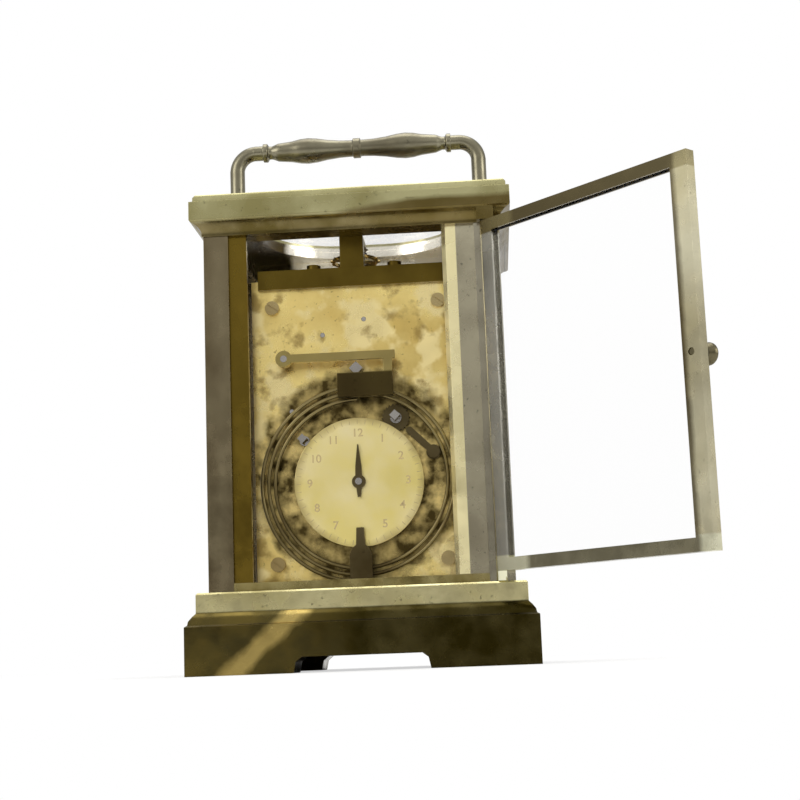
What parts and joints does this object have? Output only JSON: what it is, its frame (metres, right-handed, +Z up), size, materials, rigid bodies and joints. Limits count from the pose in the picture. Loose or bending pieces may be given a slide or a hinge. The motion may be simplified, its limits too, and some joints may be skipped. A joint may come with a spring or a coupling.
{
  "type": "travel alarm clock",
  "caption": "Glazed brass carriage clock with a folding handle, rear glass door standing open, lever movement, dial with hands and an alarm that strikes a coiled gong.",
  "frame": {"origin": "middle of the plane the four feet stand on", "axes": "+Z up, -Y towards the rear door, +Y towards the dial, +X to the right as seen from behind"},
  "size_m": [0.1321, 0.1211, 0.1533],
  "materials": {
    "case_brass": "aged polished",
    "handle_brass": "toned",
    "clear_glass": "clear bevelled",
    "gilt_brass": "gilt satin",
    "wheel_brass": "polished",
    "steel": "polished",
    "blued_steel": "blued",
    "enamel": "gloss enamel"
  },
  "bodies": {
    "case": {"base": "case_brass", "bottom_plate": "case_brass", "case_posts": "case_brass", "cap": "case_brass", "top_glass": "clear_glass", "side_glasses": "clear_glass", "front_glass": "clear_glass", "rear_jambs": "case_brass", "handle_posts": "handle_brass", "back_plate": "gilt_brass", "front_plate": "gilt_brass", "pillars": "wheel_brass", "pillar_screws": "steel", "platform": "gilt_brass", "balance_cock": "gilt_brass", "hairspring": "blued_steel", "dial": "enamel", "dial_mask": "gilt_brass", "gong": "blued_steel", "gong_block": "steel", "alarm_disc": "gilt_brass"},
    "door": {"door_frame": "case_brass", "door_glass": "clear_glass", "door_knob": "case_brass"},
    "handle": {"handle_arms": "handle_brass", "handle_grip": "handle_brass"},
    "going_barrel": {"going_barrel": "wheel_brass"},
    "winding": {"barrel_arbor": "steel", "ratchet_wheel": "steel"},
    "click": {"click": "steel"},
    "centre": {"centre_arbor": "steel", "centre_wheel": "wheel_brass", "cannon_pinion": "steel", "minute_hand": "blued_steel"},
    "third": {"third_arbor": "steel", "third_wheel": "wheel_brass"},
    "contrate": {"contrate_arbor": "steel", "contrate_wheel": "wheel_brass"},
    "escape": {"escape_arbor": "steel", "escape_wheel": "wheel_brass"},
    "lever": {"lever": "steel"},
    "balance": {"balance": "wheel_brass", "balance_staff": "steel"},
    "minute_wheel": {"minute_wheel": "wheel_brass"},
    "hour": {"hour_wheel": "wheel_brass", "hour_hand": "blued_steel"},
    "alarm_barrel": {"alarm_barrel": "wheel_brass"},
    "alarm_winding": {"alarm_winding_arbor": "steel"},
    "strike": {"strike_arbor": "steel", "strike_wheel": "wheel_brass"},
    "hammer": {"hammer_arbor": "steel", "hammer": "steel"},
    "alarm_setting": {"alarm_arbor": "steel", "alarm_pointer": "blued_steel", "alarm_hand": "blued_steel"}
  },
  "joints": [
    {"name": "door_hinge", "type": "hinge", "parent": "case", "child": "door", "pos_m": [0.036, -0.0336, 0.0695], "axis": [0, 0, 1], "range_deg": [-134, 18]},
    {"name": "handle_fold", "type": "hinge", "parent": "case", "child": "handle", "pos_m": [0, 0, 0.1316], "axis": [1, 0, 0], "range_deg": [-88, 88]},
    {"name": "contrate_turn", "type": "hinge", "parent": "case", "child": "contrate", "pos_m": [0.00225, 0, 0.09294], "axis": [0, 1, 0], "continuous": true},
    {"name": "third_turn", "type": "hinge", "parent": "case", "child": "third", "pos_m": [-0.009, 0, 0.08906], "axis": [0, 1, 0], "continuous": true},
    {"name": "centre_turn", "type": "hinge", "parent": "case", "child": "centre", "pos_m": [0, 0, 0.079], "axis": [0, 1, 0], "continuous": true},
    {"name": "barrel_turn", "type": "hinge", "parent": "case", "child": "going_barrel", "pos_m": [0.01, 0, 0.0655], "axis": [0, 1, 0], "continuous": true},
    {"name": "escape_turn", "type": "hinge", "parent": "case", "child": "escape", "pos_m": [0.00225, -0.00255, 0.1], "axis": [0, 0, 1], "continuous": true},
    {"name": "minute_wheel_turn", "type": "hinge", "parent": "case", "child": "minute_wheel", "pos_m": [0.00424, 0, 0.07476], "axis": [0, 1, 0], "continuous": true},
    {"name": "hour_turn", "type": "hinge", "parent": "case", "child": "hour", "pos_m": [0, 0, 0.079], "axis": [0, 1, 0], "continuous": true},
    {"name": "winding_turn", "type": "hinge", "parent": "case", "child": "winding", "pos_m": [0.01, 0, 0.0655], "axis": [0, 1, 0], "continuous": true},
    {"name": "click_lift", "type": "hinge", "parent": "case", "child": "click", "pos_m": [0.0196, 0, 0.056], "axis": [0, 1, 0], "range_deg": [0, 30]},
    {"name": "lever_rock", "type": "hinge", "parent": "case", "child": "lever", "pos_m": [0.0011, -0.0074, 0.108], "axis": [0, 0, 1], "range_deg": [-5, 5]},
    {"name": "balance_swing", "type": "hinge", "parent": "case", "child": "balance", "pos_m": [-0.0004, -0.0138, 0.111], "axis": [0, 0, 1], "range_deg": [-220, 220]},
    {"name": "alarm_barrel_turn", "type": "hinge", "parent": "case", "child": "alarm_barrel", "pos_m": [-0.0145, 0, 0.0604], "axis": [0, 1, 0], "continuous": true},
    {"name": "strike_turn", "type": "hinge", "parent": "case", "child": "strike", "pos_m": [-0.0178, 0, 0.0686], "axis": [0, 1, 0], "continuous": true},
    {"name": "alarm_winding_turn", "type": "hinge", "parent": "case", "child": "alarm_winding", "pos_m": [-0.0145, 0, 0.0604], "axis": [0, 1, 0], "continuous": true},
    {"name": "hammer_swing", "type": "hinge", "parent": "case", "child": "hammer", "pos_m": [-0.019, 0, 0.082], "axis": [0, 1, 0], "range_deg": [-7, 0.6]},
    {"name": "alarm_set", "type": "hinge", "parent": "case", "child": "alarm_setting", "pos_m": [0, 0, 0.0484], "axis": [0, 1, 0], "continuous": true}
  ],
  "couplings": [
    {"joint": "third_turn", "follows": "contrate_turn", "ratio": -0.13333},
    {"joint": "centre_turn", "follows": "contrate_turn", "ratio": 0.016667},
    {"joint": "barrel_turn", "follows": "contrate_turn", "ratio": -0.0027778},
    {"joint": "escape_turn", "follows": "contrate_turn", "ratio": 8},
    {"joint": "minute_wheel_turn", "follows": "contrate_turn", "ratio": -0.0055556},
    {"joint": "hour_turn", "follows": "contrate_turn", "ratio": 0.0013889},
    {"joint": "strike_turn", "follows": "alarm_barrel_turn", "ratio": -7.5}
  ]
}
